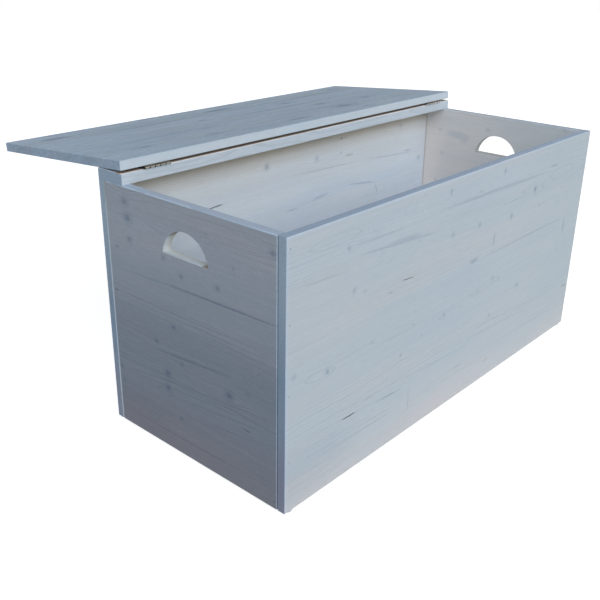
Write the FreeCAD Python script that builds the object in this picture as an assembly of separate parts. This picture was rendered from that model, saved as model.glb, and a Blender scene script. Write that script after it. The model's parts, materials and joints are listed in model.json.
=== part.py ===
"""Wooden storage chest with a hinged lid, shown thrown open onto its hinge rail.

Sizes are millimetres. X runs along the chest, the front faces -Y and Z is up. The origin lies on
the floor, halfway along the chest and straight under the pin of the lid's hinges.
"""
import FreeCAD
import Part
import math
import os

V = FreeCAD.Vector
X_AXIS = V(1, 0, 0)
Y_AXIS = V(0, 1, 0)
Z_AXIS = V(0, 0, 1)
HALF_TURN = 180.0
FULL_TURN = 360.0

# Boards: glued softwood panels of one thickness, and a thicker rail
chest_length = 1080.0
chest_depth = 475.0
wall_height = 510.0
board_thickness = 18.0
rail_thickness = 21.0
rail_depth = 72.0
floor_raise = 16.0
arris_bevel = 0.6
joint_bevel = 2.0
rail_rear_bevel = 2.0
bevel_limit_share = 0.4

# Hand holes: a round cut off by a flat sill, one in each end
hand_hole_radius = 60.0
hand_hole_height = 50.0
hand_hole_drop = 49.0
hand_hole_ease = 0.8

# Butt hinges: two leaves rolled round a loose pin, screwed on top of the rail and the lid
hinge_length = 60.0
hinge_end_inset = 50.0
leaf_width = 18.0
leaf_thickness = 1.2
leaf_corner_radius = 2.0
pin_diameter = 3.6
pin_clearance = 0.05
pin_proud = 0.6
knuckle_count = 5
knuckle_gap = 0.3
knuckle_clearance = 0.4
roll_open_angle = 65.0
rail_pin_offset = 2.0
lid_pin_offset = 3.0
lid_rest_clearance = 0.4

# Hinge screws: countersunk and slotted, two to a leaf, set off from its middle line
screw_length = 15.0
screw_diameter = 3.2
screw_head_diameter = 5.6
screw_slot_width = 0.9
screw_slot_depth = 0.7
screw_end_inset = 12.0
screw_row_shares = (0.38, 0.62)

# Brads: square wire with a narrow T head, driven a little below the face
brad_length = 45.0
brad_wire = 1.5
brad_head_width = 2.8
brad_head_height = 1.0
brad_set = 0.8
brad_top_inset = 20.0
brad_bottom_inset = 103.0
brads_in_column = 4
long_row_shares = (0.095, 0.333, 0.571, 0.809)
rail_brad_inset = 20.0

# Glides: round tapered plastic feet, each moulded on a square nail, under the front and back
glide_diameter = 20.0
glide_foot_diameter = 17.0
glide_height = 5.0
glide_end_inset = 18.0
nail_length = 19.0
nail_wire = 2.0
nail_embed = 3.0

# How far a cutter runs past the face that it opens
overrun = 1.0

# Places that follow from the sizes
bore_radius = pin_diameter / 2 + pin_clearance
barrel_radius = bore_radius + leaf_thickness
half_length = chest_length / 2
wall_bottom = glide_height
wall_top = wall_bottom + wall_height
rail_top = wall_top + rail_thickness
lid_base = rail_top - board_thickness
pin_height = rail_top + barrel_radius
rail_front = rail_pin_offset
back_face = rail_front + rail_depth
front_face = back_face - chest_depth
inner_front = front_face + board_thickness
inner_back = back_face - board_thickness
inner_end = half_length - board_thickness
floor_bottom = wall_bottom + floor_raise
floor_top = floor_bottom + board_thickness
floor_middle = floor_bottom + board_thickness / 2
mid_depth = (front_face + back_face) / 2
lid_rear = -lid_pin_offset
arris = min(arris_bevel, board_thickness * bevel_limit_share)
joint_arris = min(joint_bevel, board_thickness * bevel_limit_share)
rear_arris = min(rail_rear_bevel, rail_thickness * bevel_limit_share)
leaf_start = barrel_radius + knuckle_clearance
knuckle_width = (hinge_length - knuckle_gap * (knuckle_count - 1)) / knuckle_count
knuckle_pitch = knuckle_width + knuckle_gap
hinge_centre = half_length - hinge_end_inset - hinge_length / 2
SIDES = {"left": -1, "right": 1}


def box(low, high):
    """A square-edged block between two corners."""
    size = high - low
    return Part.makeBox(size.x, size.y, size.z, low)


def board(low, high):
    """A board between two corners, with every arris taken off."""
    blank = box(low, high)
    return blank.makeChamfer(arris, blank.Edges)


def cut_corners(low, high, bevels):
    """A rectangle's outline as pairs, with a bevel across each corner, anticlockwise from the low one."""
    left, bottom = low
    right, top = high
    first, second, third, fourth = bevels
    return [
        (left, bottom + first), (left + first, bottom),
        (right - second, bottom), (right, bottom + second),
        (right, top - third), (right - third, top),
        (left + fourth, top), (left, top - fourth),
    ]


def pushed(outline, push):
    """A board pushed from its outline, with the arris taken off round both ends."""
    blank = Part.Face(Part.makePolygon(outline + outline[:1])).extrude(push)
    rims = [edge for edge in blank.Edges if abs(edge.tangentAt(edge.FirstParameter).dot(push)) < push.Length / 2]
    return blank.makeChamfer(arris, rims)


def turned(outline):
    """A round solid from (radius, height) pairs, turned about the Z axis."""
    points = [V(radius, 0, height) for radius, height in outline]
    face = Part.Face(Part.makePolygon(points + points[:1]))
    return face.revolve(V(), Z_AXIS, FULL_TURN)


def driven(fastener, point, direction):
    """A fastener with its face level at a point and its shank along a direction."""
    placed = fastener.copy()
    placed.Placement = FreeCAD.Placement(point, FreeCAD.Rotation(-Z_AXIS, direction))
    return placed


def lid_droop():
    """The angle past flat, in degrees, at which the open lid lies over the rail's rear arris."""
    reach = back_face - rear_arris
    slack = barrel_radius - lid_rest_clearance
    droop = math.atan2(barrel_radius, reach) + math.asin(slack / math.hypot(reach, barrel_radius))
    return math.degrees(droop)


def opened(shape):
    """A piece of the closed lid, swung open about the hinge pin."""
    swung = shape.copy()
    swung.rotate(V(0, 0, pin_height), X_AXIS, -(HALF_TURN + lid_droop()))
    return swung


# Brads
def brad_shape(top):
    """A brad driven down from a face at zero, with its head drawn up to the given height."""
    head = brad_head_width / 2
    wire = brad_wire / 2
    neck = -brad_set - brad_head_height
    tip = -brad_set - brad_length
    half = [(head, top), (head, neck), (wire, neck), (wire, tip)]
    outline = half + [(-x, z) for x, z in reversed(half)]
    points = [V(x, -wire, z) for x, z in outline]
    return Part.Face(Part.makePolygon(points + points[:1])).extrude(Y_AXIS * brad_wire)


def column_heights():
    """The heights of the brads down a corner, evenly spaced."""
    highest = wall_top - brad_top_inset
    lowest = wall_bottom + brad_bottom_inset
    pitch = (highest - lowest) / (brads_in_column - 1)
    return [lowest + pitch * step for step in range(brads_in_column)]


def wall_brad_points(face):
    """Where brads enter the front or the back: down both corners and along the floor's edge."""
    corner = inner_end + board_thickness / 2
    points = [V(side * corner, face, height) for side in SIDES.values() for height in column_heights()]
    row = [V(share * chest_length - half_length, face, floor_middle) for share in long_row_shares]
    return points + row


def rail_brad_points():
    """Where brads enter the rail's top: along the back panel and into both end panels."""
    over_back = inner_back + board_thickness / 2
    over_end = inner_end + board_thickness / 2
    row = [V(share * chest_length - half_length, over_back, rail_top) for share in long_row_shares]
    ends = [V(side * over_end, rail_front + rail_brad_inset, rail_top) for side in SIDES.values()]
    return row + ends


def brad_group(places):
    """The brads and the holes that they stand in, for (point, direction) pairs."""
    brad = brad_shape(-brad_set)
    hole = brad_shape(overrun)
    brads = [driven(brad, point, direction) for point, direction in places]
    holes = [driven(hole, point, direction) for point, direction in places]
    return brads, holes


# Glides
def glide_shape():
    """A plastic glide standing on the floor, moulded round the lower end of its nail."""
    rim = glide_diameter / 2
    foot = glide_foot_diameter / 2
    return turned([(0, 0), (foot, 0), (rim, glide_height), (0, glide_height)]).cut(nail_shape())


def nail_shape():
    """A nail held in the middle of its glide, with its shank up in the wall."""
    half = nail_wire / 2
    base = glide_height - nail_embed
    return box(V(-half, -half, base), V(half, half, base + nail_length))


def under_corners(shape):
    """A foot piece at each of the four corners, flush with the front or the back."""
    rows = (front_face + glide_diameter / 2, back_face - glide_diameter / 2)
    across = half_length - glide_end_inset
    placed = []
    for y in rows:
        for side in SIDES.values():
            piece = shape.copy()
            piece.translate(V(side * across, y, 0))
            placed.append(piece)
    return placed


# Hinges, drawn about their own pin with the leaf towards +Y
def on_ring(radius, angle):
    """A point of the hinge's section at a radius and an angle about the pin."""
    turn = math.radians(angle)
    return V(0, radius * math.cos(turn), radius * math.sin(turn))


def roll_section():
    """The section of a rolled knuckle, with a short tail that runs into the leaf."""
    start = -HALF_TURN / 2
    end = start - (FULL_TURN - roll_open_angle)
    middle = (start + end) / 2
    outer = [on_ring(barrel_radius, angle) for angle in (start, middle, end)]
    inner = [on_ring(bore_radius, angle) for angle in (end, middle, start)]
    tail_top = V(0, leaf_start, -bore_radius)
    tail_base = V(0, leaf_start, -barrel_radius)
    edges = [
        Part.Arc(*outer).toShape(),
        Part.makeLine(outer[-1], inner[0]),
        Part.Arc(*inner).toShape(),
        Part.makeLine(inner[-1], tail_top),
        Part.makeLine(tail_top, tail_base),
        Part.makeLine(tail_base, outer[0]),
    ]
    return Part.Face(Part.Wire(edges))


def screw_points():
    """The screws' places on a leaf, at the level of its upper face."""
    plate_width = leaf_width - leaf_start
    reach = hinge_length / 2 - screw_end_inset
    rows = [leaf_start + plate_width * share for share in screw_row_shares]
    return [V(x, y, -bore_radius) for x, y in zip((-reach, reach), rows)]


def screw_shape():
    """A countersunk screw with its head level at zero and a slot across it."""
    head = screw_head_diameter / 2
    shank = screw_diameter / 2
    neck = shank - head
    screw = turned([(0, 0), (head, 0), (shank, neck), (shank, -screw_length), (0, -screw_length)])
    corner = V(-head, -screw_slot_width / 2, -screw_slot_depth)
    slot = Part.makeBox(screw_head_diameter, screw_slot_width, screw_slot_depth + overrun, corner)
    return screw.cut(slot)


def screw_hole():
    """The countersink and pilot hole that a screw fills, open above its head."""
    head = screw_head_diameter / 2
    shank = screw_diameter / 2
    outline = [(0, overrun), (head, overrun), (head, 0), (shank, shank - head)]
    return turned(outline + [(shank, -screw_length), (0, -screw_length)])


def leaf_shape(first_knuckle):
    """A leaf with every second knuckle, starting at the given one."""
    depth = leaf_width - leaf_start
    corner = V(-hinge_length / 2, leaf_start, -barrel_radius)
    plate = Part.makeBox(hinge_length, depth, leaf_thickness, corner)
    free_corners = [
        edge for edge in plate.Edges
        if edge.BoundBox.ZLength > leaf_thickness / 2 and edge.BoundBox.YMin > leaf_width - leaf_thickness
    ]
    leaf = plate.makeFillet(leaf_corner_radius, free_corners)
    section = roll_section()
    for knuckle in range(first_knuckle, knuckle_count, 2):
        roll = section.extrude(X_AXIS * knuckle_width)
        roll.translate(X_AXIS * (knuckle * knuckle_pitch - hinge_length / 2))
        leaf = leaf.fuse(roll)
    holes = [driven(screw_hole(), point, -Z_AXIS) for point in screw_points()]
    return leaf.removeSplitter().cut(holes)


def pin_shape():
    """The hinge pin, whose ends stand a little proud of the barrel."""
    length = hinge_length + pin_proud * 2
    return Part.makeCylinder(pin_diameter / 2, length, V(-length / 2, 0, 0), X_AXIS)


def at_hinge(shape, side, mirrored=False):
    """A hinge piece moved to the left or right hinge, turned over to the lid if mirrored."""
    placed = shape.mirror(V(), Y_AXIS) if mirrored else shape.copy()
    placed.translate(V(side * hinge_centre, 0, pin_height))
    return placed


def hinge_fasteners(shape, mirrored):
    """A screw, or its hole, at every screw place of both hinges' rail or lid leaves."""
    placed = [driven(shape, point, -Z_AXIS) for point in screw_points()]
    return [at_hinge(piece, side, mirrored) for side in SIDES.values() for piece in placed]


# Hand holes
def hand_hole_wire(x, ease):
    """The hand hole's outline at a place along the chest, widened by an easing."""
    radius = hand_hole_radius + ease
    crown = wall_top - hand_hole_drop
    centre = crown - hand_hole_radius
    sill = crown - hand_hole_height - ease
    half_sill = math.sqrt(radius ** 2 - (sill - centre) ** 2)
    near = V(x, mid_depth - half_sill, sill)
    far = V(x, mid_depth + half_sill, sill)
    top = V(x, mid_depth, centre + radius)
    return Part.Wire([Part.Arc(near, top, far).toShape(), Part.makeLine(far, near)])


def hand_hole_cutter(side):
    """The hand hole of one end panel, with a small bevel at both faces."""
    outer = side * half_length
    inner = side * inner_end
    step = side * hand_hole_ease
    through = Part.Face(hand_hole_wire(inner, 0)).extrude(V(outer - inner, 0, 0))
    bevels = [
        Part.makeLoft([hand_hole_wire(face, hand_hole_ease), hand_hole_wire(face + inward, 0)], True, True)
        for face, inward in ((outer, -step), (inner, step))
    ]
    return through.fuse(bevels)


# The carcass: boards, brads and glides
def long_wall(near, far, near_bevel, far_bevel):
    """The front or the back panel, between two depths, with its own bevel down the ends at each."""
    bevels = (near_bevel, near_bevel, far_bevel, far_bevel)
    plan = cut_corners((-half_length, near), (half_length, far), bevels)
    return pushed([V(x, y, wall_bottom) for x, y in plan], Z_AXIS * wall_height)


def end_wall(side):
    """An end panel, whose outer arrises have the wider bevel at the top and down both corners."""
    low, high = sorted((side * inner_end, side * half_length))
    low_bevel, high_bevel = (arris, joint_arris) if side > 0 else (joint_arris, arris)
    plan = cut_corners((low, inner_front), (high, inner_back), (low_bevel, high_bevel, high_bevel, low_bevel))
    section = cut_corners((low, wall_bottom), (high, wall_top), (arris, arris, high_bevel, low_bevel))
    upright = pushed([V(x, y, wall_bottom) for x, y in plan], Z_AXIS * wall_height)
    level = pushed([V(x, inner_front, z) for x, z in section], Y_AXIS * (inner_back - inner_front))
    return upright.common(level)


def rail_board():
    """The hinge rail, whose rear arris is bevelled where the open lid lies on it."""
    section = cut_corners((rail_front, wall_top), (back_face, rail_top), (arris, arris, rear_arris, arris))
    return pushed([V(-half_length, y, z) for y, z in section], X_AXIS * chest_length)


def carcass_boards():
    """The boards of the fixed part, before anything is bored."""
    boards = {
        "front_panel": long_wall(front_face, inner_front, arris, joint_arris),
        "back_panel": long_wall(inner_back, back_face, joint_arris, arris),
        "bottom_panel": box(V(-inner_end, inner_front, floor_bottom), V(inner_end, inner_back, floor_top)),
        "hinge_rail": rail_board(),
    }
    for name, side in SIDES.items():
        boards[f"{name}_end_panel"] = end_wall(side).cut(hand_hole_cutter(side))
    return boards


def build_carcass():
    """Every piece of the fixed part but its hinges, with the boards bored for their fasteners."""
    pieces = carcass_boards()
    brads_of = {
        "front_brads": [(point, Y_AXIS) for point in wall_brad_points(front_face)],
        "back_brads": [(point, -Y_AXIS) for point in wall_brad_points(back_face)],
        "rail_brads": [(point, -Z_AXIS) for point in rail_brad_points()],
    }
    holes = []
    groups = {}
    for name, places in brads_of.items():
        brads, their_holes = brad_group(places)
        groups[name] = Part.makeCompound(brads)
        holes += their_holes
    nails = under_corners(nail_shape())
    groups["glides"] = Part.makeCompound(under_corners(glide_shape()))
    groups["glide_nails"] = Part.makeCompound(nails)
    screw_holes = hinge_fasteners(screw_hole(), mirrored=False)
    for name, panel in pieces.items():
        near = [tool for tool in holes + nails + screw_holes if tool.BoundBox.intersect(panel.BoundBox)]
        pieces[name] = panel.cut(near)
    return {**pieces, **groups}


# The hinges and the lid
def build_hinges():
    """Leaves, pins and screws of both hinges; those on the lid are swung open with it."""
    pieces = {}
    for name, side in SIDES.items():
        pieces[f"{name}_rail_leaf"] = at_hinge(leaf_shape(0), side)
        pieces[f"{name}_lid_leaf"] = opened(at_hinge(leaf_shape(1), side, mirrored=True))
        pieces[f"{name}_hinge_pin"] = at_hinge(pin_shape(), side)
    pieces["rail_hinge_screws"] = Part.makeCompound(hinge_fasteners(screw_shape(), mirrored=False))
    pieces["lid_hinge_screws"] = opened(Part.makeCompound(hinge_fasteners(screw_shape(), mirrored=True)))
    return pieces


def build_lid():
    """The lid panel, bored for its hinge screws and swung open."""
    panel = board(V(-half_length, front_face, lid_base), V(half_length, lid_rear, rail_top))
    return {"lid_panel": opened(panel.cut(hinge_fasteners(screw_hole(), mirrored=True)))}


os.makedirs("parts", exist_ok=True)
for node, shape in {**build_carcass(), **build_hinges(), **build_lid()}.items():
    shape.exportStep(f"parts/{node}.step")
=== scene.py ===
"""Looks of the wooden storage chest: its finishes, the floor, the light and the camera.

Lengths are metres in the model's own frame: X runs along the chest, the front faces -Y and Z is up.
Places on a board are millimetres along and across its grain, from the corner where both are lowest.
"""
import json
import math
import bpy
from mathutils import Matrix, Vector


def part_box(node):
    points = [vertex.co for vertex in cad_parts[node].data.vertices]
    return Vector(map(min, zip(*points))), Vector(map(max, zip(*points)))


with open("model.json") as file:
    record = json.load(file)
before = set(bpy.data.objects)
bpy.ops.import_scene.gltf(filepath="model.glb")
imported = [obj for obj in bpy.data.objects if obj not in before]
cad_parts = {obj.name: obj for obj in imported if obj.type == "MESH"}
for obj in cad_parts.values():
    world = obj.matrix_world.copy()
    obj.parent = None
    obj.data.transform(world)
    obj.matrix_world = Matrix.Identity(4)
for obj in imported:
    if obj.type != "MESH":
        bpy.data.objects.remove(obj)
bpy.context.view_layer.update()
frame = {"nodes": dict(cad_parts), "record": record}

from types import SimpleNamespace

import bpy
from mathutils import Matrix, Vector

MM = 0.001
X_AXIS = Vector((1, 0, 0))
Y_AXIS = Vector((0, 1, 0))
Z_AXIS = Vector((0, 0, 1))

# Camera: fitted to corners and edges in the photograph; its axis meets the square picture at AXIS_ROW
CAMERA_PLACE = (-1.3761, -1.1723, 0.9184)
CAMERA_AZIMUTH = -48.38
CAMERA_ELEVATION = 23.02
CAMERA_ROLL = 0.85
PICTURE_WIDTH = 600
FOCAL_PIXELS = 806.6
AXIS_ROW = 287.5
SENSOR_WIDTH = 36.0

# Light: four soft lamps and an even sky; each lamp has a direction, strength, spread and colour
LAMPS = {
    "key": ((0.00, -0.95, 0.30), 1.65, 50.0, (1.0, 0.99, 0.94)),
    "fill": ((-0.55, -0.61, 0.71), 1.25, 50.0, (0.88, 0.93, 1.06)),
    "rear": ((0.12, 0.99, 0.02), 1.60, 20.0, (0.98, 0.99, 1.0)),
    "side": ((0.98, 0.16, 0.02), 1.20, 20.0, (0.98, 0.99, 1.0)),
}
SKY_COLOUR = (0.90, 1.0, 1.10)
SKY_STRENGTH = 0.17
FLOOR_COLOUR = (0.56, 0.55, 0.53)
FLOOR_GLOW = 0.80
FLOOR_REACH = 12.0
FLOOR_SIDES = 96
FLOOR_ROUGHNESS = 0.9
WHITE = (1.0, 1.0, 1.0)

# Wood: glued staves and their rings; the pith's offset aside is in stave widths
STAVE_WIDTH = 60 * MM
RING_PITCH = 3.6 * MM
GLUE_LINE = (0.488, 0.5)
PITH_WANDER = 26 * MM
WANDER_NOISE = (2.2, 9.0, 3.0)
PITH_ASIDE = 0.9
PITH_ASIDE_SPREAD = 0.8
PITH_DEPTH = 15 * MM
PITH_DEPTH_SPREAD = 60 * MM
PITH_DRIFT = 0.05
LATEWOOD_RISE = (0.55, 0.93)
LATEWOOD_FALL = (1.0, 0.95)
FAINTEST_RING = 0.1
FAINTEST_STRETCH = 0.3
RAGGED_NOISE = (90.0, 220.0)
RAGGED_ALONG = 9 * MM
RAGGED_ACROSS = 3.5 * MM

# Colours: a thin white and blue-grey glaze, bare wood, tints of ends and marks, and painted light and shade
GLAZE_COOL = (0.435, 0.515, 0.578)
GLAZE_WARM = (0.474, 0.512, 0.550)
PALE_COOL = (0.705, 0.785, 0.860)
PALE_WARM = (0.770, 0.800, 0.820)
# Painted shade: the whole lid darker and bluer
LID_SHADE_TINT = (0.625, 0.715, 0.80)
# Painted bounce light: the right wall's inner face lighter and warmer
RIGHT_BOUNCE_LIGHT_TINT = (1.205, 1.105, 1.015)
# Painted shade: the whole left end darker
LEFT_SHADE_TINT = (0.755, 0.78, 0.825)
# Painted shade: the back's inner face a little darker
BACK_INNER_SHADE_TINT = (0.965, 0.955, 0.955)
RAW_TINT = (1.05, 0.93, 0.72)
HOLE_RIM_TINT = (1.02, 1.11, 1.24)
RAW_WOOD = ((0.680, 0.685, 0.640), (0.340, 0.295, 0.235))
# A shaded copy of the bare wood, as painted shade in the right hand hole
RAW_IN_SHADE = ((0.450, 0.450, 0.440), (0.360, 0.330, 0.290))
# Bare wood painted dark as shade on the rail's top: in the gap under the lid, and as the shadow under the
# hinges
RAW_IN_RAIL_SHADE = ((0.420, 0.290, 0.190), (0.300, 0.200, 0.130))
RAW_PATCH = (0.0, 0.5)
RAW_PATCH_SHARE = 0.6
END_GRAIN_TINT = (0.82, 0.93, 1.05)
SHADED_END_TINT = (0.84, 0.955, 1.05)
# Painted light on edges, the faces across the grain: bluer as sky light on the tops of walls
EDGE_SKY_LIGHT_TINT = (0.918, 0.995, 1.113)
# Painted shade: darker front and right edges
FRONT_EDGE_SHADE_TINT = (0.69, 0.785, 0.93)
RIGHT_EDGE_SHADE_TINT = (0.80, 0.82, 0.86)
# Painted highlight: lighter lid and rail edges
LID_EDGE_HIGHLIGHT_TINT = (1.145, 1.15, 1.158)
RAIL_EDGE_HIGHLIGHT_TINT = (1.20, 1.187, 1.194)
# Rubbed arrises, lighter also as painted highlight, the most on the left end
ARRIS_WEAR_AND_HIGHLIGHT_TINT = (1.20, 1.22, 1.22)
LEFT_ARRIS_WEAR_AND_HIGHLIGHT_TINT = (1.28, 1.44, 1.55)
# Painted shade on the right wall's arrises
RIGHT_ARRIS_SHADE_TINT = (0.94, 1.02, 1.10)
# Painted shade and highlight on the arrises at board ends, at the first end and the far end
FRONT_LIP_SHADE = ((0.60, 0.63, 0.69), None)
BACK_LIP_SHADE = ((0.64, 0.66, 0.66), None)
LEFT_LIP_HIGHLIGHT_AND_SHADE = ((1.10, 1.06, 1.0), (0.58, 0.58, 0.58))
# The dark joint line where a board butts on another, painted as the shade in its groove
JOINT_SHADE_TINT = (0.35, 0.36, 0.40)
LATEWOOD_TINT = (0.80, 0.79, 0.80)
STAIN_TINT = (0.52, 0.58, 0.68)
CRACK_TINT = (0.13, 0.12, 0.11)
CHALK_TINT = (1.30, 1.31, 1.28)
CHALK_MOTTLE = (-0.08, 0.12)

# Textures: how much each changes the tone or the warmth of the glaze, and the surface itself
TEXTURE_WEIGHTS = {"fibre": 0.10, "streak": 0.09, "cloud": 0.06, "mottle": 0.13, "fleck": 0.10}
CLOUD_WARMTH = 1.6
STAVE_WARMTH = 0.4
STAVE_WEIGHT = 0.03
GLUE_WEIGHT = 0.03
SAWN_WEIGHT = 0.15
WOOD_ROUGHNESS = 0.62
WOOD_GLOSS = 0.35
WOOD_RELIEF = 0.12 * MM

# How squarely a surface faces a way where it begins to count as that side, and where it wholly does
FACE_ON = (0.5, 0.8)
SQUARE_ON = (0.75, 0.9)
ROUNDED = (0.95, 0.8)
LIP_FACING = (0.3, 0.6)
HOLE_FACING = (0.9, 0.6)

# Where a change of finish or of painted light and shade begins on a board, and where it is whole
FIRST_END = (20 * MM, 10 * MM)
JOINT_DEPTH = (1.0 * MM, 1.25 * MM)
HOLE_RIM = (16 * MM, 4 * MM)
STRIP_FRONT = (5.5 * MM, 6.5 * MM)
STRIP_BACK = (22 * MM, 15 * MM)
HOLE_MARGIN = 30 * MM

# Knots: bend and tail reach so many radii along and across, and rims are squares of reaches
KNOT_BEND = (7.0, 3.2)
KNOT_PUSH = 0.85
HEART_RIM = (2.0, 0.1)
KNOT_TAIL = (4.0, 0.8)
TAIL_DARK = 0.15
HALO_RIM = (7.0, 0.5)
HALO_DARK = 0.35

# Marks: a streak's rim, again by the square of its reach, and a loop's line in millimetres
STREAK_RIM = (1.0, 0.1)
LOOP_LINE = (1.1, 0.2)

# Hinges, fasteners and glides: each steel has a bright and a dull colour
HINGE_PINS = ("left_hinge_pin", "right_hinge_pin")
KNUCKLES = 5
HINGE_COLOURS = ((0.78, 0.77, 0.72), (0.38, 0.355, 0.31))
HINGE_ROUGHNESS = 0.30
# Painted shade between the knuckles and along the top of the barrel
KNUCKLE_SHADE_TINT = (0.16, 0.14, 0.12)
FASTENER_COLOURS = ((0.42, 0.42, 0.42), (0.20, 0.18, 0.16))
FASTENER_ROUGHNESS = 0.38
STEEL_PATCHES = (160.0, 4.0, 0.6)
STEEL_GRAIN = (1900.0, 2.0)
STEEL_RELIEF = 0.05 * MM
DULL_PATCH = (0.42, 0.68)
KNUCKLE_GAP = (0.30, 0.42)
KNUCKLE_TOP = (-0.1, 0.6)
GLIDE_COLOUR = (0.60, 0.65, 0.70)
GLIDE_MOTTLE = (220.0, 3.0)
GLIDE_GRAIN = (2600.0, 2.0)
GLIDE_ROUGHNESS = 0.48
GLIDE_RELIEF = 0.04 * MM


class Wire:
    """An output of a shader node that can be written into sums and products."""

    def __init__(self, graph, socket):
        self.graph = graph
        self.socket = socket

    def __add__(self, other):
        return self.graph.math("ADD", self, other)

    def __sub__(self, other):
        return self.graph.math("SUBTRACT", self, other)

    def __rsub__(self, other):
        return self.graph.math("SUBTRACT", other, self)

    def __mul__(self, other):
        return self.graph.math("MULTIPLY", self, other)

    def __truediv__(self, other):
        return self.graph.math("DIVIDE", self, other)

    __radd__ = __add__

    def size(self):
        return self.graph.math("ABSOLUTE", self)

    def floor(self):
        return self.graph.math("FLOOR", self)

    def fraction(self):
        return self.graph.math("FRACT", self)

    def root(self):
        return self.graph.math("SQRT", self)

    def ramp(self, low, high):
        """0 below low and 1 above high, smooth between them; falls instead if low is the larger."""
        if low > high:
            return 1 - self.ramp(high, low)
        node = self.graph.add("ShaderNodeMapRange", interpolation_type="SMOOTHSTEP")
        self.graph.feed(node.inputs["Value"], self)
        self.graph.feed(node.inputs["From Min"], low)
        self.graph.feed(node.inputs["From Max"], high)
        return Wire(self.graph, node.outputs["Result"])


class Graph:
    """Writes the nodes of a shader tree, so that a finish reads like its formula."""

    def __init__(self, tree):
        self.tree = tree

    def add(self, kind, **settings):
        node = self.tree.nodes.new(kind)
        for name, value in settings.items():
            setattr(node, name, value)
        return node

    def feed(self, socket, value):
        if isinstance(value, Wire):
            self.tree.links.new(value.socket, socket)
        else:
            socket.default_value = value

    def math(self, operation, *values):
        node = self.add("ShaderNodeMath", operation=operation)
        for socket, value in zip(node.inputs, values):
            self.feed(socket, value)
        return Wire(self, node.outputs[0])

    def vector(self, x, y, z):
        node = self.add("ShaderNodeCombineXYZ")
        for socket, value in zip(node.inputs, (x, y, z)):
            self.feed(socket, value)
        return Wire(self, node.outputs[0])

    def dot(self, vector, axis):
        node = self.add("ShaderNodeVectorMath", operation="DOT_PRODUCT")
        self.feed(node.inputs[0], vector)
        self.feed(node.inputs[1], axis)
        return Wire(self, node.outputs["Value"])

    def parts(self, vector):
        node = self.add("ShaderNodeSeparateXYZ")
        self.feed(node.inputs[0], vector)
        return [Wire(self, socket) for socket in node.outputs]

    def noise(self, vector, scale=1.0, detail=2.0, roughness=0.5):
        """Smooth noise about zero, from -0.5 to 0.5."""
        node = self.add("ShaderNodeTexNoise")
        self.feed(node.inputs["Vector"], vector)
        for name, value in (("Scale", scale), ("Detail", detail), ("Roughness", roughness)):
            self.feed(node.inputs[name], value)
        return Wire(self, node.outputs["Fac"]) - 0.5

    def chance(self, vector):
        """Four random numbers from 0 to 1 that stay the same wherever the vector does."""
        node = self.add("ShaderNodeTexWhiteNoise", noise_dimensions="3D")
        self.feed(node.inputs["Vector"], vector)
        return [*self.parts(Wire(self, node.outputs["Color"])), Wire(self, node.outputs["Value"])]

    def mix(self, share, first, second, blend="MIX"):
        """A colour between two, or the first multiplied by the second as far as the share says."""
        node = self.add("ShaderNodeMix", data_type="RGBA", blend_type=blend)
        colours = [socket for socket in node.inputs if socket.type == "RGBA"]
        self.feed(node.inputs["Factor"], share)
        for socket, value in zip(colours, (first, second)):
            self.feed(socket, value if isinstance(value, Wire) else (*value, 1.0))
        return Wire(self, next(socket for socket in node.outputs if socket.type == "RGBA"))

    def tint(self, share, colour, tint):
        return self.mix(share, colour, tint, "MULTIPLY")

    def call(self, group, *values):
        """The outputs of a node group for these inputs."""
        node = self.add("ShaderNodeGroup", node_tree=group)
        for socket, value in zip(node.inputs, values):
            self.feed(socket, value)
        return [Wire(self, socket) for socket in node.outputs]


def new_group(name, inputs, outputs):
    """An empty node group with number sockets: its graph, its inputs and its output sockets."""
    tree = bpy.data.node_groups.new(name, "ShaderNodeTree")
    for way, names in (("INPUT", inputs), ("OUTPUT", outputs)):
        for socket in names:
            tree.interface.new_socket(name=socket, in_out=way, socket_type="NodeSocketFloat")
    graph = Graph(tree)
    entry = graph.add("NodeGroupInput")
    end = graph.add("NodeGroupOutput")
    return graph, [Wire(graph, entry.outputs[socket]) for socket in inputs], end.inputs


def new_material(name):
    """A material with an empty tree: its graph and its surface shader."""
    material = bpy.data.materials.new(name)
    material.use_nodes = True
    material.node_tree.nodes.clear()
    graph = Graph(material.node_tree)
    shader = graph.add("ShaderNodeBsdfPrincipled")
    output = graph.add("ShaderNodeOutputMaterial")
    material.node_tree.links.new(shader.outputs[0], output.inputs["Surface"])
    return material, graph, shader


def bump(graph, shader, height, depth):
    """Raises a surface by a height from 0 to 1 times a depth."""
    node = graph.add("ShaderNodeBump")
    graph.feed(node.inputs["Distance"], depth)
    graph.feed(node.inputs["Height"], height)
    graph.tree.links.new(node.outputs[0], shader.inputs["Normal"])


# Boards
class Board:
    """A CAD board with its own axes: along the grain, across it, and through from the outer face."""

    def __init__(self, node, along, across, through):
        self.node = node
        self.axes = (along, across, through)
        corners = [vertex.co for vertex in frame["nodes"][node].data.vertices]
        self.lows = [min(corner.dot(axis) for corner in corners) for axis in self.axes]


def lid_axes():
    """The lid's axes as it lies open, turned back a little past flat, from its widest flat face."""
    widest = max(frame["nodes"]["lid_panel"].data.polygons, key=lambda polygon: polygon.area)
    up = widest.normal * math.copysign(1.0, widest.normal.z)
    return X_AXIS, up.cross(X_AXIS), up


def oval(step_along, step_across, reach_along, reach_across):
    """The square of how far a point lies from the middle of an oval: 1 on its rim."""
    share_along = step_along / reach_along
    share_across = step_across / reach_across
    return share_along * share_along + share_across * share_across


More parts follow.
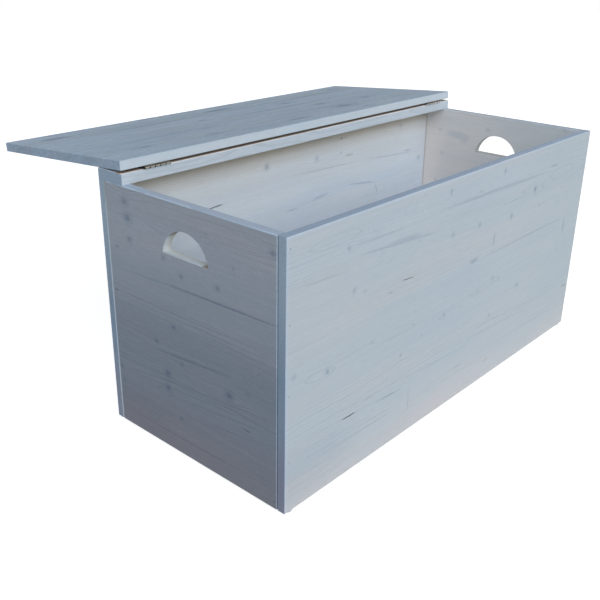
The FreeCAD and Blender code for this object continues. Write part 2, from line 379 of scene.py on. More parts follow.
def knot_group():
    """A knot at a place: how far it pushes the grain aside, and how dark it stains the board."""
    names = ("along", "across", "stretch", "place along", "place across", "radius", "dark")
    graph, inputs, ends = new_group("knot", names, ("push", "stain"))
    along, across, stretch, a, c, radius, dark = inputs
    step_along = along - a * MM
    step_across = across - c * MM
    size = radius * MM
    bend = oval(step_along, step_across, size * KNOT_BEND[0], size * KNOT_BEND[1])
    graph.feed(ends["push"], step_across * graph.math("EXPONENT", bend * -1.0) * KNOT_PUSH)
    heart = oval(step_along, step_across, size * stretch, size)
    tail = oval(step_along, step_across, size * KNOT_TAIL[0], size * KNOT_TAIL[1]).ramp(1.0, 0.0) * TAIL_DARK
    halo = heart.ramp(*HALO_RIM) * HALO_DARK
    stain = graph.math("MAXIMUM", heart.ramp(*HEART_RIM), graph.math("MAXIMUM", tail, halo))
    graph.feed(ends["stain"], stain * dark)
    return graph.tree


def mark_group(name, shape):
    """A long mark at a place, which may run aslant: a shape gives its strength."""
    names = ("along", "across", "place along", "place across", "half length", "half width", "tilt", "dark")
    graph, inputs, ends = new_group(name, names, ("stain",))
    along, across, a, c, half_length, half_width, tilt, dark = inputs
    step_along = along - a * MM
    step_across = across - c * MM - step_along * tilt
    distance = oval(step_along, step_across, half_length * MM, half_width * MM)
    graph.feed(ends["stain"], shape(distance, half_width) * dark)
    return graph.tree


def tapered(distance, half_width):
    """A stain, a seam or a crack, which fades to its rim."""
    return distance.ramp(*STREAK_RIM)


def thin_ring(distance, half_width):
    """The thin line of a ring of the tree that closes on the face."""
    return ((distance.root() - 1.0).size() * half_width).ramp(*LOOP_LINE)


KNOT = knot_group()
STREAK = mark_group("streak", tapered)
LOOP = mark_group("loop", thin_ring)


# Wood
class Surface:
    """The places on a board and the ways it faces, as its shader sees them."""

    def __init__(self, graph, board, seed):
        self.graph = graph
        coordinates = graph.add("ShaderNodeTexCoord")
        self.point = Wire(graph, coordinates.outputs["Object"])
        normal = Wire(graph, coordinates.outputs["Normal"])
        places = [graph.dot(self.point, axis) - low for axis, low in zip(board.axes, board.lows)]
        self.along, self.across, self.through = places
        facings = [graph.dot(normal, axis) for axis in board.axes]
        self.facing_along, self.facing_across, self.facing_through = facings
        self.inner = self.facing_through.ramp(*FACE_ON)
        self.outer = self.facing_through.ramp(-FACE_ON[0], -FACE_ON[1])
        self.edge = self.facing_across.size().ramp(*SQUARE_ON)
        self.sawn_end = self.facing_along.size().ramp(*SQUARE_ON)
        fine_along, fine_across = RAGGED_NOISE
        ragged = graph.noise(graph.vector(self.along * fine_along, self.across * fine_across, seed))
        self.mark_along = self.along + ragged * RAGGED_ALONG
        self.mark_across = self.across + ragged * RAGGED_ACROSS

    def noise(self, fine_along, fine_across, detail, shift=0.0, roughness=0.5):
        """Noise drawn out along the grain: how fine it is along it and across it."""
        place = (self.along * fine_along, self.across * fine_across + shift, self.through * fine_across)
        return self.graph.noise(self.graph.vector(*place), 1.0, detail, roughness)


def wood_look(**own):
    """What sets one board's wood apart, on top of the plain case."""
    plain = dict(
        stave_shift=0.0, contrast=(1.0, 1.0), pale_inside=True,
        knots=(), stretch=1.0, stains=(), loops=(), scuffs=(), cracks=(),
        outer_tint=None, inner_tint=None, fades=(),
        edge_tint=EDGE_SKY_LIGHT_TINT, end_tint=END_GRAIN_TINT, arris_tint=ARRIS_WEAR_AND_HIGHLIGHT_TINT, lips=(None, None), butted=False,
        bare=None, raw=RAW_WOOD, raw_stains=(), raw_rim=None,
    )
    return SimpleNamespace(**{**plain, **own})


def marks(graph, group, surface, places):
    """The strength of all the marks of one kind."""
    strength = 0.0
    for place in places:
        one = graph.call(group, surface.mark_along, surface.mark_across, *place)[0]
        strength = graph.math("MAXIMUM", strength, one)
    return strength


def grain_round_knots(graph, surface, look):
    """How far all the knots push the grain aside, and the stain of their hearts."""
    push = 0.0
    stain = 0.0
    for knot in look.knots:
        one_push, one_stain = graph.call(KNOT, surface.mark_along, surface.mark_across, look.stretch, *knot)
        push = push + one_push
        stain = graph.math("MAXIMUM", stain, one_stain)
    return push, stain


def annual_rings(graph, surface, look, push):
    """Staves, each sawn from another tree: their latewood, their luck and the glue lines between them."""
    stave_place = surface.across / STAVE_WIDTH + look.stave_shift
    stave = stave_place.floor()
    from_middle = stave_place.fraction() - 0.5
    luck = graph.chance(graph.vector(stave, look.seed, 0.5))

    # The pith lies below the stave and beside it, and drifts along it
    wander = surface.noise(*WANDER_NOISE, look.seed) * PITH_WANDER
    turned = luck[0].ramp(0.49, 0.51) * 2.0 - 1.0
    aside = from_middle * turned + luck[1] * PITH_ASIDE_SPREAD + PITH_ASIDE
    off_pith = aside * STAVE_WIDTH + wander - push
    drift = surface.along * (luck[2] - 0.5) * PITH_DRIFT
    depth = surface.through + drift + luck[3] * PITH_DEPTH_SPREAD + PITH_DEPTH
    ring_place = (off_pith * off_pith + depth * depth).root() / RING_PITCH
    ring = ring_place.fraction()
    ring_luck = graph.chance(graph.vector(ring_place.floor(), stave, look.seed))
    slow = graph.vector(surface.along * 1.3, surface.across * 12.0 + look.seed, 7.0)
    bold = ring_luck[0] * (1 - FAINTEST_RING) + FAINTEST_RING
    clear = graph.noise(slow).ramp(-0.15, 0.2) * (1 - FAINTEST_STRETCH) + FAINTEST_STRETCH
    return SimpleNamespace(
        latewood=ring.ramp(*LATEWOOD_RISE) * ring.ramp(*LATEWOOD_FALL) * bold * clear,
        luck=luck,
        glue_line=from_middle.size().ramp(*GLUE_LINE),
    )


def grain_textures(surface, seed):
    """Fine fibre, pores and longer streaks along the grain, and the glaze's slow clouds."""
    return {
        "fibre": surface.noise(16.0, 900.0, 2.0, roughness=0.6),
        "fleck": surface.noise(45.0, 150.0, 3.0),
        "mottle": surface.noise(240.0, 400.0, 2.0),
        "streak": surface.noise(5.0, 130.0, 3.0, seed),
        "cloud": surface.noise(3.0, 16.0, 3.0, seed),
    }


def glaze(graph, surface, look, rings, textures):
    """The glazed wood's colour, with its latewood, its fibre and its clouds."""
    outer_contrast, inner_contrast = look.contrast
    strength = surface.inner * (inner_contrast - outer_contrast) + outer_contrast
    strength = surface.edge * (1 - strength) + strength
    warmth = textures["cloud"] * CLOUD_WARMTH + 0.5 + (rings.luck[2] - 0.5) * STAVE_WARMTH
    warmth.socket.node.use_clamp = True
    colour = graph.mix(warmth, GLAZE_COOL, GLAZE_WARM)
    if look.pale_inside:
        colour = graph.mix(surface.inner, colour, graph.mix(warmth, PALE_COOL, PALE_WARM))
    colour = graph.tint(rings.latewood * strength, colour, LATEWOOD_TINT)
    shade = (rings.luck[3] - 0.5) * STAVE_WEIGHT - rings.glue_line * GLUE_WEIGHT
    for name, weight in TEXTURE_WEIGHTS.items():
        shade = shade + textures[name] * weight
    tone = shade * strength + textures["mottle"] * surface.sawn_end * SAWN_WEIGHT + 1.0
    return graph.tint(1.0, colour, graph.vector(tone, tone, tone))


def stain_and_scuff(graph, surface, look, stain, mottle, colour):
    """Stains of knots, streaks and rings, and chalky scuffs."""
    stain = graph.math("MAXIMUM", stain, marks(graph, STREAK, surface, look.stains))
    stain = graph.math("MAXIMUM", stain, marks(graph, LOOP, surface, look.loops))
    colour = graph.tint(stain, colour, STAIN_TINT)
    if look.scuffs:
        chalk = marks(graph, STREAK, surface, look.scuffs) * mottle.ramp(*CHALK_MOTTLE)
        colour = graph.tint(chalk, colour, CHALK_TINT)
    return colour


def rub_edges(graph, surface, look, colour):
    """Sawn ends, painted light and shade on edges, rubbed arrises and the joint where a board butts on
    another.
    """
    flat = graph.math("MAXIMUM", surface.facing_across.size(), surface.facing_through.size())
    flat = graph.math("MAXIMUM", surface.facing_along.size(), flat)
    arris = flat.ramp(*ROUNDED)
    colour = graph.tint(surface.sawn_end, colour, look.end_tint)
    # Edges: painted light and shade
    colour = graph.tint(surface.edge, colour, look.edge_tint)
    # Arrises: rubbed, with painted highlight and shade
    colour = graph.tint(arris, colour, look.arris_tint)
    # Arrises at board ends: painted shade, and a painted highlight at the left end's front
    lip = arris * surface.facing_along.size().ramp(*LIP_FACING)
    first = surface.along.ramp(*FIRST_END)
    open_share = surface.along.ramp(*JOINT_DEPTH) if look.butted else 1.0
    for share, tint in zip((first * open_share, 1 - first), look.lips):
        if tint:
            colour = graph.tint(lip * share, colour, tint)
    # The joint line: painted shade in the groove where a board butts on another
    if look.butted:
        colour = graph.tint(lip * (1 - open_share), colour, JOINT_SHADE_TINT)
    return colour


def tone_sides(graph, surface, look, colour):
    """The tone of each side, and its changes along and across it: painted light and shade, but for the bare
    bottom's own tone.
    """
    sides = {"outer": surface.outer, "inner": surface.inner, "ends": surface.sawn_end}
    ways = {"along": surface.along, "across": surface.across}
    # Whole sides: painted light and shade, but for the bare bottom's own colour
    for side, tint in (("outer", look.outer_tint), ("inner", look.inner_tint)):
        if tint:
            colour = graph.tint(sides[side], colour, tint)
    # Painted light and shade in ramps along and across each side
    for side, way, start, end, tint in look.fades:
        colour = graph.tint(ways[way].ramp(start * MM, end * MM) * sides[side], colour, tint)
    return colour


def lay_bare(graph, surface, look, textures, colour):
    """Bare wood where the glaze doesn't reach; its dark colours on the rail, in the right hand hole and in
    the left one's corners are painted shade.
    """
    # Painted shade in the hand hole's corners, from the darker bare wood
    dull = marks(graph, STREAK, surface, look.raw_stains)
    patch = (textures["streak"] + textures["cloud"]).ramp(*RAW_PATCH) * RAW_PATCH_SHARE
    bare_wood = graph.mix(graph.math("MAXIMUM", dull, patch), *look.raw)
    if look.raw_rim:
        bare_wood = graph.tint(surface.through.ramp(*HOLE_RIM) * (1 - dull), bare_wood, look.raw_rim)
    return graph.mix(look.bare(graph, surface), colour, bare_wood)


def wood(board, look):
    """Glazed softwood for one board, with its grain, staves, knots and marks in their places, and painted
    light and shade on its sides and edges.
    """
    material, graph, shader = new_material(f"glazed_wood_{board.node}")
    surface = Surface(graph, board, look.seed)
    push, knot_stain = grain_round_knots(graph, surface, look)
    rings = annual_rings(graph, surface, look, push)
    textures = grain_textures(surface, look.seed)
    colour = glaze(graph, surface, look, rings, textures)
    colour = stain_and_scuff(graph, surface, look, knot_stain, textures["mottle"], colour)
    colour = rub_edges(graph, surface, look, colour)
    colour = tone_sides(graph, surface, look, colour)
    if look.bare:
        colour = lay_bare(graph, surface, look, textures, colour)
    if look.cracks:
        colour = graph.tint(marks(graph, STREAK, surface, look.cracks), colour, CRACK_TINT)
    graph.feed(shader.inputs["Base Color"], colour)
    graph.feed(shader.inputs["Roughness"], rings.latewood * -0.08 + textures["fibre"] * 0.2 + WOOD_ROUGHNESS)
    shader.inputs["Specular IOR Level"].default_value = WOOD_GLOSS
    bump(graph, shader, rings.latewood * 0.6 + textures["fibre"], WOOD_RELIEF)
    return material


def hand_hole(name):
    """Where the sawn faces of a hand hole are bare wood."""
    opening = next(one for one in frame["record"]["physics"]["openings"] if one["name"] == name)
    low, high = opening["box_m"]

    def share(graph, surface):
        sawn = surface.facing_through.size().ramp(*HOLE_FACING)
        for place, start, end in list(zip(graph.parts(surface.point), low, high))[1:]:
            reach = (end - start) / 2 + HOLE_MARGIN
            sawn = sawn * (place - (start + end) / 2).size().ramp(reach, reach - MM)
        return sawn

    return share


def hinge_strip(graph, surface):
    """Where the top of the rail is bare wood painted dark as shade: behind its front edge under the lid, and
    right to it at the hinges, as a painted shadow under their knuckles.
    """
    covered = surface.across.ramp(*STRIP_FRONT)
    x = graph.parts(surface.point)[0]
    for pin in HINGE_PINS:
        low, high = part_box(pin)
        half_length = (high[0] - low[0]) / 2
        from_middle = (x - (low[0] + high[0]) / 2).size()
        covered = graph.math("MAXIMUM", covered, from_middle.ramp(half_length, half_length - MM))
    return surface.outer * covered * surface.across.ramp(*STRIP_BACK)


# Painted light and shade on sides: the side, the way each runs, where it starts, where it is full, and its
# tint
# Front: painted bounce light at the foot, highlight at the left end and top, shade low on the ends and to
# the right
FRONT_LIGHT_AND_SHADE = [
    ("outer", "across", 90, 20, (1.135, 1.05, 1.01)), ("outer", "along", 9, 2, (1.02, 1.06, 1.13)),
    ("outer", "across", 503, 508, (1.03, 1.06, 1.12)), ("ends", "across", 450, 240, (0.67, 0.72, 0.77)),
    ("ends", "across", 200, 60, (1.06, 0.86, 0.87)), ("outer", "along", 650, 1000, (0.96, 0.975, 0.97)),
]
# Left end: painted light at the top, painted shade below the middle, warmer and darker at the foot
LEFT_LIGHT_AND_SHADE = [
    ("outer", "across", 330, 470, (1.17, 1.13, 1.10)), ("outer", "across", 390, 190, (0.70, 0.70, 0.725)),
    ("outer", "across", 140, 20, (1.03, 0.925, 0.89)),
]
# Back: painted shadow under the rail on its inner face, lighter lower down, and painted shade low on its
# ends
BACK_LIGHT_AND_SHADE = [
    ("inner", "across", 440, 482, (0.86, 0.80, 0.74)), ("inner", "across", 470, 492, (0.80, 0.74, 0.65)),
    ("ends", "across", 450, 240, (0.67, 0.72, 0.77)), ("ends", "across", 200, 60, (1.06, 0.90, 0.88)),
    ("inner", "across", 425, 375, (1.09, 1.11, 1.12)), ("inner", "across", 385, 320, (0.99, 1.01, 1.05)),
]
# Right wall's inner face: painted shade at the front and lower down, painted light at the back, shade in the
# back corner
RIGHT_LIGHT_AND_SHADE = [
    ("inner", "along", 320, 100, (0.90, 0.95, 0.98)), ("inner", "across", 460, 380, (0.98, 0.95, 0.93)),
    ("inner", "along", 360, 420, (1.09, 1.06, 1.04)), ("inner", "along", 434.5, 435.5, (0.80, 0.77, 0.74)),
]
# Rail: painted light on the front strip of its top under the lid, and a painted highlight at its left end
RAIL_PAINTED_LIGHT = [
    ("outer", "across", 6.5, 5.5, (1.80, 1.50, 1.32)), ("outer", "along", 4.0, 2.5, (1.35, 1.25, 1.2)),
]
# Lid: painted light on its inner face towards its left end
LID_PAINTED_LIGHT = [("inner", "along", 300, 0, (1.07, 1.09, 1.10))]

# Marks of the boards: knots are (along, across, radius, dark), and the others are
# (along, across, half length, half width, tilt, dark)
FRONT_KNOTS = [
    (220, 469, 2, 0.5), (153, 453, 3.5, 0.6), (367, 410, 2, 0.4), (243, 413, 2, 0.4), (172, 371, 4.5, 0.5),
    (203, 360, 3, 0.3), (366, 268, 2, 0.4), (475, 223, 3.5, 0.7), (396, 206, 2, 0.7), (328, 188, 3, 0.7),
    (106, 240, 5, 0.7), (21, 265, 4.5, 0.4), (669, 487, 4, 0.7), (462, 485, 4.5, 0.7), (372, 498, 2, 0.5),
    (366, 467, 2, 0.4), (577, 463, 2, 0.5), (820, 417, 6.5, 0.8), (962, 393, 3, 0.4), (720, 377, 5.5, 0.6),
    (585, 390, 4.5, 0.6), (851, 372, 3, 0.4), (948, 362, 2, 0.4), (482, 393, 4.5, 0.5), (666, 248, 4, 0.6),
    (787, 195, 5, 0.5), (913, 210, 2, 0.4), (977, 233, 3.5, 0.4), (244, 103, 2, 0.4), (668, 157, 3.5, 0.5),
]
FRONT_STAINS = [
    (300, 424, 150, 3, -0.07, 0.4), (240, 452, 95, 3, -0.03, 0.3), (90, 416, 90, 2, -0.06, 0.25),
    (640, 452, 290, 5, -0.02, 0.36), (905, 456, 22, 3, 0.0, 0.6), (810, 312, 245, 1.8, 0.0, 0.5),
    (575, 314, 22, 7, 0.0, 0.5), (730, 412, 90, 2, 0.0, 0.3), (652, 342, 5, 22, 0.0, 0.45),
    (1000, 288, 6, 26, 0.0, 0.4), (364, 70, 2, 36, 0.0, 0.45), (185, 74, 190, 1.6, -0.03, 0.4),
    (317, 427, 62, 6, -0.05, 0.35), (167, 123, 150, 1.2, -0.06, 0.4), (108, 88, 100, 1.2, -0.05, 0.4),
    (438, 124, 200, 1.3, -0.07, 0.35), (694, 123, 290, 1.4, -0.07, 0.35), (754, 137, 240, 1.4, -0.06, 0.35),
    (40, 70, 190, 75, 0.0, 0.14), (102, 84, 60, 1.2, -0.07, 0.35), (600, 60, 300, 1.3, -0.02, 0.3),
    (850, 70, 220, 1.3, -0.03, 0.3), (75, 108, 95, 1.1, -0.05, 0.45), (62, 60, 85, 1.1, -0.04, 0.45),
    (55, 42, 75, 1.0, -0.03, 0.4), (140, 98, 120, 1.0, -0.05, 0.45), (160, 142, 130, 1.0, -0.05, 0.4),
    (230, 84, 130, 1.0, -0.04, 0.4),
]
FRONT_LOOPS = [
    (950, 433, 56, 13, 0.06, 0.25), (963, 427, 110, 21, 0.06, 0.2), (810, 418, 50, 8, -0.12, 0.25),
    (119, 476, 65, 10, 0.0, 0.2), (326, 485, 18, 12, 0.24, 0.2), (637, 237, 56, 9, 0.07, 0.3),
    (637, 237, 36, 5, 0.07, 0.25), (500, 220, 42, 7, 0.0, 0.25), (525, 358, 37, 9, -0.18, 0.12),
    (87, 241, 38, 8, -0.07, 0.25), (298, 245, 70, 9, -0.1, 0.2),
]
FRONT_CRACKS = [
    (334, 345, 25, 1.2, -0.08, 0.8), (280, 333, 9, 0.8, 0.0, 0.6), (170, 122, 24, 1.9, -0.02, 1.0),
    (296, 112, 50, 1.1, -0.04, 0.7), (226, 135, 20, 0.8, 0.0, 0.4), (1057, 112, 20, 1.5, 0.0, 0.7),
    (549, 75, 22, 1.0, 0.0, 0.5), (675, 43, 15, 1.0, 0.1, 0.5),
]
LEFT_KNOTS = [
    (383, 482, 6, 0.7), (377, 451, 6, 0.85), (375, 410, 4.5, 0.7), (415, 387, 3, 0.6), (279, 400, 3.5, 0.6),
    (232, 377, 3.5, 0.7), (139, 382, 4, 0.7), (99, 428, 2, 0.5), (10, 478, 4.5, 0.7), (163, 472, 2, 0.4),
    (260, 269, 4, 0.8), (313, 223, 3.5, 0.7), (284, 165, 5, 1.0), (285, 134, 5, 0.95), (241, 199, 3.5, 0.6),
    (116, 184, 6, 0.85), (69, 205, 3, 0.5), (430, 127, 3.5, 0.6), (423, 96, 3, 0.5), (369, 110, 2, 0.4),
    (250, 80, 3, 0.7), (320, 50, 2, 0.5), (151, 280, 2, 0.4),
]
LEFT_STAINS = [
    (205, 351, 205, 2.2, -0.02, 0.5), (130, 354, 190, 2.8, -0.02, 0.75), (216, 214, 122, 3.6, -0.08, 0.6),
    (163, 298, 160, 1.3, -0.02, 0.45), (142, 289, 140, 1.3, 0.0, 0.45), (107, 280, 105, 1.3, 0.03, 0.45),
    (311, 297, 125, 1.3, -0.01, 0.45), (212, 142, 208, 1.4, -0.08, 0.4), (142, 134, 138, 1.4, -0.11, 0.4),
    (100, 111, 96, 1.4, -0.12, 0.35), (260, 34, 200, 1.6, -0.02, 0.7), (139, 163, 150, 1.3, -0.09, 0.5),
    (400, 40, 150, 60, 0.0, 0.14), (303, 450, 42, 1.6, 0.2, 0.4), (120, 158, 120, 2, 0.0, 0.35),
    (320, 143, 95, 2, -0.15, 0.3),
]
LEFT_LOOPS = [
    (379, 484, 10, 13, 0.0, 0.4), (374, 450, 13, 15, 0.0, 0.45), (68, 244, 7, 12, 0.0, 0.45),
    (68, 244, 13, 18, 0.0, 0.35), (40, 242, 8, 14, 0.0, 0.45), (295, 121, 20, 8, 0.0, 0.4),
]
LEFT_SCUFFS = [
    (230, 221, 170, 1.6, -0.08, 0.9), (149, 309, 100, 2.3, 0.01, 0.5), (50, 232, 26, 2, 0.6, 0.5),
]
LEFT_CRACKS = [
    (427, 295, 8, 1.2, 0.1, 0.8), (72, 131, 14, 1.2, 0.0, 0.85), (7, 14, 2, 2, 0.0, 0.9),
]
# Painted shade in the left hand hole: darker bare wood at the top of its arch and in its lower corner
LEFT_HOLE_SHADE = [(163, 411, 18, 14, 0.0, 1.0), (244, 452, 26, 19, 0.0, 0.9)]
BACK_KNOTS = [
    (429, 456, 6, 0.7), (600, 444, 6, 0.5), (692, 479, 2, 0.9), (691, 444, 3, 0.4), (1036, 372, 5, 0.5),
    (940, 474, 4, 0.4), (150, 220, 5, 0.7), (330, 120, 4, 0.7), (560, 250, 5, 0.7), (760, 90, 4.5, 0.7),
    (880, 210, 6, 0.75), (990, 130, 3.5, 0.6), (240, 60, 3, 0.6), (660, 180, 3, 0.6), (60, 140, 4, 0.6),
    (430, 200, 3.5, 0.6),
]
BACK_STAINS = [
    (725, 433, 20, 3, 0.0, 0.6), (979, 402, 22, 3, 0.0, 0.5), (782, 349, 70, 3, -0.12, 0.5),
    (845, 322, 10, 6, -1.8, 0.4), (628, 415, 142, 2, -0.03, 0.4), (906, 401, 136, 2.2, -0.07, 0.4),
    (617, 348, 37, 3.8, 0.09, 0.45), (515, 337, 28, 2.5, 0.0, 0.45), (300, 170, 180, 1.6, -0.03, 0.4),
    (700, 230, 220, 1.8, 0.02, 0.4), (850, 60, 160, 1.5, 0.0, 0.35), (180, 90, 120, 1.5, -0.04, 0.35),
]
BACK_CRACKS = [(272, 398, 28, 2.0, 0.05, 0.9), (693, 479, 24, 1.3, 0.0, 0.5)]
RIGHT_KNOTS = [
    (247, 473, 4, 0.35), (393, 453, 3.5, 0.3), (315, 436, 6.5, 0.3), (382, 391, 3.5, 0.3),
    (39, 503, 3.5, 0.3), (395, 312, 3.5, 0.3), (120, 210, 5, 0.7), (300, 150, 4, 0.7), (60, 90, 3.5, 0.6),
    (220, 280, 4.5, 0.7), (350, 250, 3, 0.6), (180, 60, 3, 0.6), (60, 330, 4, 0.6),
]
RIGHT_STAINS = [
    (200, 265, 180, 2, -0.02, 0.5), (150, 170, 140, 1.5, 0.03, 0.4), (290, 100, 130, 1.5, -0.04, 0.4),
    (240, 30, 150, 1.6, 0.0, 0.4), (335, 447, 45, 13, 0.05, 0.28),
]
BOTTOM_KNOTS = [
    (200, 120, 5, 0.6), (470, 300, 6, 0.6), (760, 180, 5, 0.6), (930, 330, 4, 0.5), (330, 380, 4, 0.5),
    (610, 90, 3.5, 0.5), (90, 310, 4, 0.5),
]
LID_KNOTS = [
    (113, 76, 7, 0.8), (407, 238, 7, 0.7), (333, 141, 5, 0.6), (292, 71, 6, 0.7), (715, 264, 10, 0.8),
    (741, 167, 9, 0.8), (742, 88, 13, 0.9), (901, 144, 9, 0.6), (1000, 349, 10, 0.6), (765, 36, 7, 0.6),
]
LID_STAINS = [
    (82, 338, 50, 13, 0.0, 0.9), (539, 335, 60, 13, 0.0, 0.9), (529, 46, 50, 9, 0.0, 0.8),
    (356, 390, 35, 9, 0.0, 0.8), (300, 300, 190, 9, 0.0, 0.35), (620, 215, 260, 9, 0.0, 0.35),
    (240, 150, 220, 8, 0.0, 0.35), (840, 310, 200, 9, 0.0, 0.35), (640, 120, 160, 8, 0.0, 0.35),
]

# The wood of each board; its contrast is for the outer and the inner face
FRONT = wood_look(
    seed=3.0, stave_shift=0.8,
    knots=FRONT_KNOTS, stretch=0.75, stains=FRONT_STAINS, loops=FRONT_LOOPS, cracks=FRONT_CRACKS,
    fades=FRONT_LIGHT_AND_SHADE, edge_tint=FRONT_EDGE_SHADE_TINT, end_tint=SHADED_END_TINT, lips=FRONT_LIP_SHADE,
)
BACK = wood_look(
    seed=11.0, stave_shift=0.3, contrast=(1.3, 0.75),
    knots=BACK_KNOTS, stains=BACK_STAINS, cracks=BACK_CRACKS,
    inner_tint=BACK_INNER_SHADE_TINT, fades=BACK_LIGHT_AND_SHADE, end_tint=SHADED_END_TINT, lips=BACK_LIP_SHADE,
)
LEFT = wood_look(
    seed=5.0, stave_shift=0.37, contrast=(1.9, 1.0),
    knots=LEFT_KNOTS, stretch=1.3, stains=LEFT_STAINS, loops=LEFT_LOOPS,
    scuffs=LEFT_SCUFFS, cracks=LEFT_CRACKS,
    outer_tint=LEFT_SHADE_TINT, inner_tint=LEFT_SHADE_TINT, fades=LEFT_LIGHT_AND_SHADE,
    arris_tint=LEFT_ARRIS_WEAR_AND_HIGHLIGHT_TINT, lips=LEFT_LIP_HIGHLIGHT_AND_SHADE, butted=True,
    bare=hand_hole("left_hand_hole"), raw_stains=LEFT_HOLE_SHADE, raw_rim=HOLE_RIM_TINT,
)
RIGHT = wood_look(
    seed=17.0, stave_shift=0.6, contrast=(1.7, 0.6), knots=RIGHT_KNOTS, stretch=1.2, stains=RIGHT_STAINS,
    inner_tint=RIGHT_BOUNCE_LIGHT_TINT, fades=RIGHT_LIGHT_AND_SHADE,
    edge_tint=RIGHT_EDGE_SHADE_TINT, arris_tint=RIGHT_ARRIS_SHADE_TINT, butted=True,
    bare=hand_hole("right_hand_hole"), raw=RAW_IN_SHADE,
)
BOTTOM = wood_look(
    seed=23.0, stave_shift=0.4, contrast=(1.3, 1.3), knots=BOTTOM_KNOTS,
    outer_tint=RAW_TINT, inner_tint=RAW_TINT,
)
RAIL = wood_look(
    seed=29.0, contrast=(0.8, 0.8), pale_inside=False, fades=RAIL_PAINTED_LIGHT, edge_tint=RAIL_EDGE_HIGHLIGHT_TINT,
    bare=hinge_strip, raw=RAW_IN_RAIL_SHADE,
)
LID = wood_look(
    seed=31.0, stave_shift=0.1, contrast=(4.2, 4.2), pale_inside=False,
    knots=LID_KNOTS, stretch=2.0, stains=LID_STAINS,
    outer_tint=LID_SHADE_TINT, inner_tint=LID_SHADE_TINT, fades=LID_PAINTED_LIGHT, edge_tint=LID_EDGE_HIGHLIGHT_TINT,
)


def dress_boards():
    """Gives every board its own wood, by its axes along, across and through."""
    boards = {
        "front_panel": (FRONT, (X_AXIS, Z_AXIS, Y_AXIS)),
        "back_panel": (BACK, (X_AXIS, Z_AXIS, -Y_AXIS)),
        "left_end_panel": (LEFT, (Y_AXIS, Z_AXIS, X_AXIS)),
        "right_end_panel": (RIGHT, (Y_AXIS, Z_AXIS, -X_AXIS)),
        "bottom_panel": (BOTTOM, (X_AXIS, Y_AXIS, Z_AXIS)),
        "hinge_rail": (RAIL, (X_AXIS, Y_AXIS, -Z_AXIS)),
        "lid_panel": (LID, lid_axes()),
    }
    for node, (look, axes) in boards.items():
        dress(node, wood(Board(node, *axes), look))


def dress(node, material):
    """Puts a material on every slot of a CAD node."""
    for slot in frame["nodes"][node].material_slots:
        slot.material = material


# Metal and plastic
def steel(name, colours, roughness, joints=None):
    """Plated steel with dull patches and fine wear, and painted shade between and on top of any knuckles."""
    material, graph, shader = new_material(name)
    coordinates = graph.add("ShaderNodeTexCoord")
    point = Wire(graph, coordinates.outputs["Object"])
    patch = graph.noise(point, *STEEL_PATCHES)
    grain = graph.noise(point, *STEEL_GRAIN)
    share = (patch + 0.5).ramp(*DULL_PATCH)
    finish = graph.mix(share, *colours)
    # Painted shade in the gaps between knuckles and on top of the barrel, under the lid
    if joints:
        start, length, height, radius = joints
        x, _, z = graph.parts(point)
        between = (((x - start) / length).fraction() - 0.5).size().ramp(*KNUCKLE_GAP)
        on_top = ((z - height) / radius).ramp(*KNUCKLE_TOP)
        finish = graph.tint(graph.math("MAXIMUM", between, on_top), finish, KNUCKLE_SHADE_TINT)
    graph.feed(shader.inputs["Base Color"], finish)
    graph.feed(shader.inputs["Roughness"], share * 0.2 + grain * 0.15 + roughness)
    shader.inputs["Metallic"].default_value = 1.0
    bump(graph, shader, grain + patch, STEEL_RELIEF)
    return material


def plastic():
    """Moulded plastic with a faint mottle and scuffs."""
    material, graph, shader = new_material("glide_plastic")
    coordinates = graph.add("ShaderNodeTexCoord")
    point = Wire(graph, coordinates.outputs["Object"])
    mottle = graph.noise(point, *GLIDE_MOTTLE)
    fine = graph.noise(point, *GLIDE_GRAIN)
    tone = mottle * 0.12 + 1.0
    graph.feed(shader.inputs["Base Color"], graph.tint(1.0, GLIDE_COLOUR, graph.vector(tone, tone, tone)))
    graph.feed(shader.inputs["Roughness"], fine * 0.2 + mottle * 0.2 + GLIDE_ROUGHNESS)
    bump(graph, shader, fine, GLIDE_RELIEF)
    return material


def dress_fittings():
    """Steel for hinges and fasteners, plastic for the glides."""
    low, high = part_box("left_hinge_pin")
    knuckle = (high[0] - low[0]) / KNUCKLES
    height = (low[2] + high[2]) / 2
    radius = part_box("left_rail_leaf")[1][2] - height
    barrel = (low[0], knuckle, height, radius)
    by_slot = {
        "hinge_steel": steel("hinge_steel", HINGE_COLOURS, HINGE_ROUGHNESS, barrel),
        "fastener_steel": steel("fastener_steel", FASTENER_COLOURS, FASTENER_ROUGHNESS),
        "glide_plastic": plastic(),
    }
    for subpart in frame["record"]["subparts"]:
        material = by_slot.get(subpart["material_slot"])
        if material:
            dress(subpart["node"], material)


# Stage
def seen_directly(graph):
    """1 for what the camera sees, also by reflection or through glass, and 0 for what lights the object."""
    path = graph.add("ShaderNodeLightPath")
    names = ("Is Camera Ray", "Is Glossy Ray", "Is Transmission Ray")
    rays = [Wire(graph, path.outputs[name]) for name in names]
    return graph.math("MAXIMUM", rays[0], graph.math("MAXIMUM", rays[1], rays[2]))


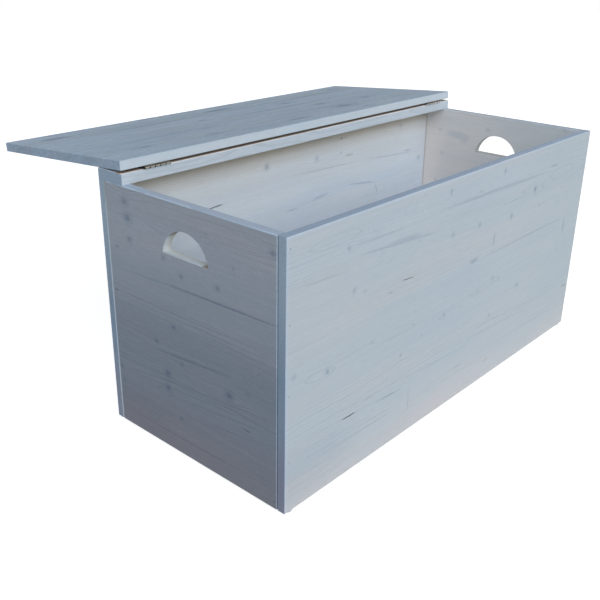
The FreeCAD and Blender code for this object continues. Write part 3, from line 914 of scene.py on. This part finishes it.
def lay_floor():
    """A pale floor that glows white to the camera and keeps the chest's shadow."""
    bpy.ops.mesh.primitive_circle_add(vertices=FLOOR_SIDES, radius=FLOOR_REACH, fill_type="NGON")
    floor = bpy.context.object
    floor.name = "floor"
    material, graph, shader = new_material("floor_white")
    shader.inputs["Base Color"].default_value = (*FLOOR_COLOUR, 1.0)
    shader.inputs["Roughness"].default_value = FLOOR_ROUGHNESS
    shader.inputs["Specular IOR Level"].default_value = 0.0
    shader.inputs["Emission Color"].default_value = (*WHITE, 1.0)
    graph.feed(shader.inputs["Emission Strength"], seen_directly(graph) * FLOOR_GLOW)
    floor.data.materials.append(material)


def light_scene():
    """The lamps and the sky, which shows white to the camera."""
    for name, (direction, strength, spread, colour) in LAMPS.items():
        light = bpy.data.lights.new(name, "SUN")
        light.energy = strength
        light.angle = math.radians(spread)
        light.color = colour
        lamp = bpy.data.objects.new(name, light)
        lamp.rotation_euler = Vector(direction).to_track_quat("Z", "Y").to_euler()
        bpy.context.scene.collection.objects.link(lamp)

    world = bpy.data.worlds.new("sky")
    world.use_nodes = True
    world.node_tree.nodes.clear()
    graph = Graph(world.node_tree)
    direct = seen_directly(graph)
    sky = graph.add("ShaderNodeBackground")
    graph.feed(sky.inputs["Color"], graph.mix(direct, SKY_COLOUR, WHITE))
    graph.feed(sky.inputs["Strength"], direct * (1.0 - SKY_STRENGTH) + SKY_STRENGTH)
    output = graph.add("ShaderNodeOutputWorld")
    world.node_tree.links.new(sky.outputs[0], output.inputs["Surface"])
    bpy.context.scene.world = world


def place_camera():
    """The camera of the photograph."""
    data = bpy.data.cameras.new("camera")
    data.sensor_width = SENSOR_WIDTH
    data.lens = FOCAL_PIXELS / PICTURE_WIDTH * SENSOR_WIDTH
    data.shift_y = AXIS_ROW / PICTURE_WIDTH - 0.5
    camera = bpy.data.objects.new("camera", data)
    heading = Matrix.Rotation(math.radians(CAMERA_AZIMUTH), 4, "Z")
    pitch = Matrix.Rotation(math.radians(90 - CAMERA_ELEVATION), 4, "X")
    roll = Matrix.Rotation(math.radians(CAMERA_ROLL), 4, "Z")
    camera.matrix_world = Matrix.Translation(CAMERA_PLACE) @ heading @ pitch @ roll
    bpy.context.scene.collection.objects.link(camera)
    bpy.context.scene.camera = camera
    bpy.context.scene.view_settings.view_transform = "Standard"


dress_boards()
dress_fittings()
lay_floor()
light_scene()
place_camera()
